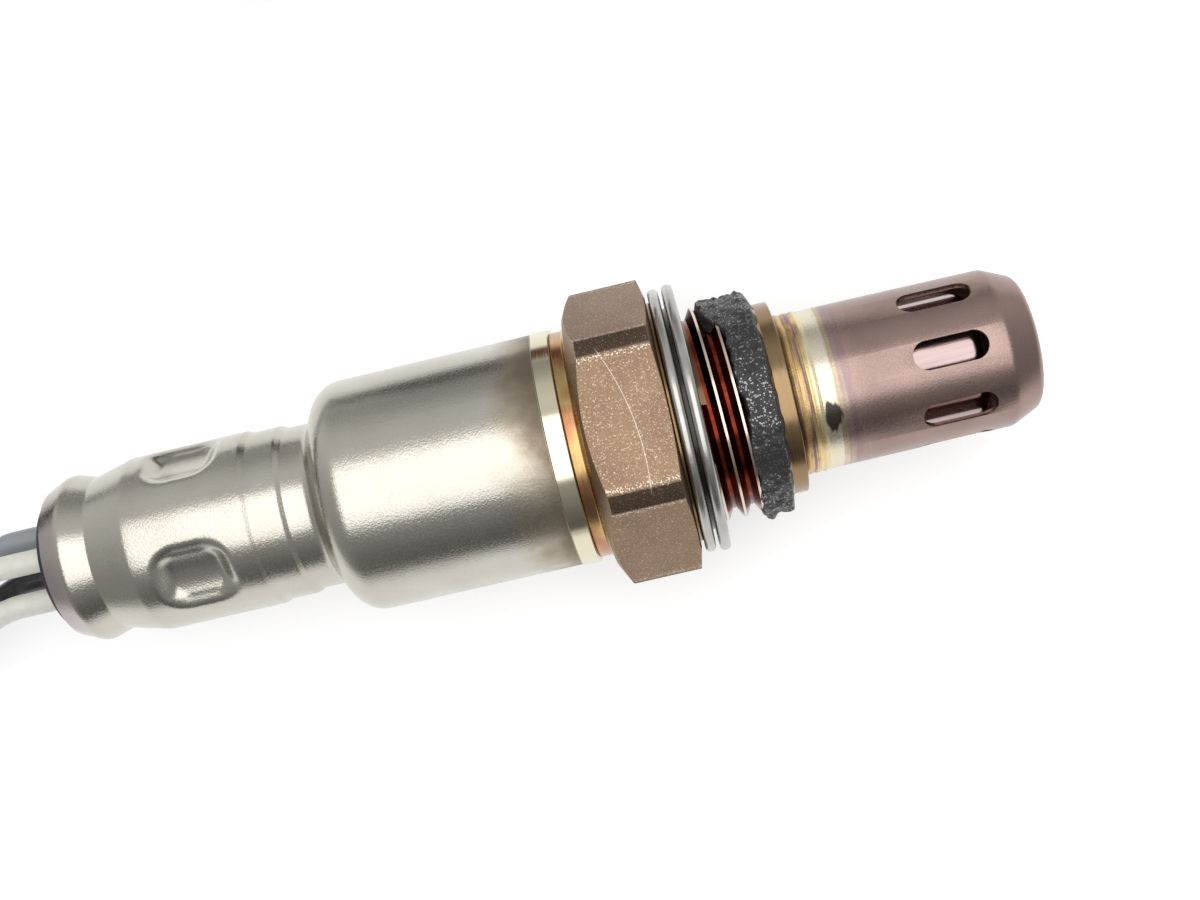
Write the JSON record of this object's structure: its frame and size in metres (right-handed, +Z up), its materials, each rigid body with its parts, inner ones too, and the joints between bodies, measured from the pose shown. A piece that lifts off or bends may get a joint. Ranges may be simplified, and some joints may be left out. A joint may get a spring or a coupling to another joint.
{
  "type": "oxygen sensor",
  "caption": "Heated four-wire exhaust oxygen sensor: slotted probe tip, thread with folded gasket, hexagon, crimped steel casing, and a coiled sleeved lead with plug.",
  "frame": {"origin": "on the sensor's axis at the front face of the sealing gasket, where it meets the exhaust boss", "axes": "+X along the sensor towards the probe tip, +Z up with a flat of the hexagon facing up, and the gasket's rim on the surface below"},
  "size_m": [0.1854, 0.0823, 0.0231],
  "materials": {
    "shell_steel": "satin, heat tinted bronze brown",
    "gasket_steel": "rolled sheet",
    "shield_steel": "drawn, heat tinted mauve brown",
    "inner_steel": "drawn",
    "casing_steel": "drawn, satin",
    "zirconia": "matt sintered",
    "alumina": "matt sintered",
    "talc": "pressed powder",
    "packing_steel": "stamped",
    "nickel": "stamped nickel alloy",
    "fluoroplastic": "moulded",
    "grommet_rubber": "moulded",
    "grey_insulation": "extruded",
    "white_insulation": "extruded",
    "black_insulation": "extruded",
    "woven_sleeve": "braided",
    "shrink_tube": "shrunk tube",
    "connector_plastic": "moulded",
    "seal_silicone": "moulded silicone",
    "lock_plastic": "moulded",
    "tin": "tin plated"
  },
  "bodies": {
    "root": {"metal_shell": "shell_steel", "sealing_gasket": "gasket_steel", "outer_shield": "shield_steel", "inner_shield": "inner_steel", "outer_casing": "casing_steel", "sensing_element": "zirconia", "heater_rod": "alumina", "ceramic_bush": "alumina", "contact_holder": "alumina", "powder_seal": "talc", "seat_washer": "packing_steel", "crimp_ring": "packing_steel", "spring_sleeve": "packing_steel", "signal_terminal": "nickel", "ground_terminal": "nickel", "heater_terminal_a": "nickel", "heater_terminal_b": "nickel", "wire_guide": "fluoroplastic", "grommet": "grommet_rubber", "connector_boot": "grommet_rubber", "wire_grey": "grey_insulation", "wire_white_a": "white_insulation", "wire_white_b": "white_insulation", "wire_black": "black_insulation", "sleeve_coil": "woven_sleeve", "sleeve_tail": "woven_sleeve", "sleeve_cap": "shrink_tube", "connector_housing": "connector_plastic", "ring_seal": "seal_silicone", "wire_seal": "seal_silicone", "contact_lock": "lock_plastic", "contact_1": "tin", "contact_2": "tin", "contact_3": "tin", "contact_4": "tin"}
  },
  "joints": []
}
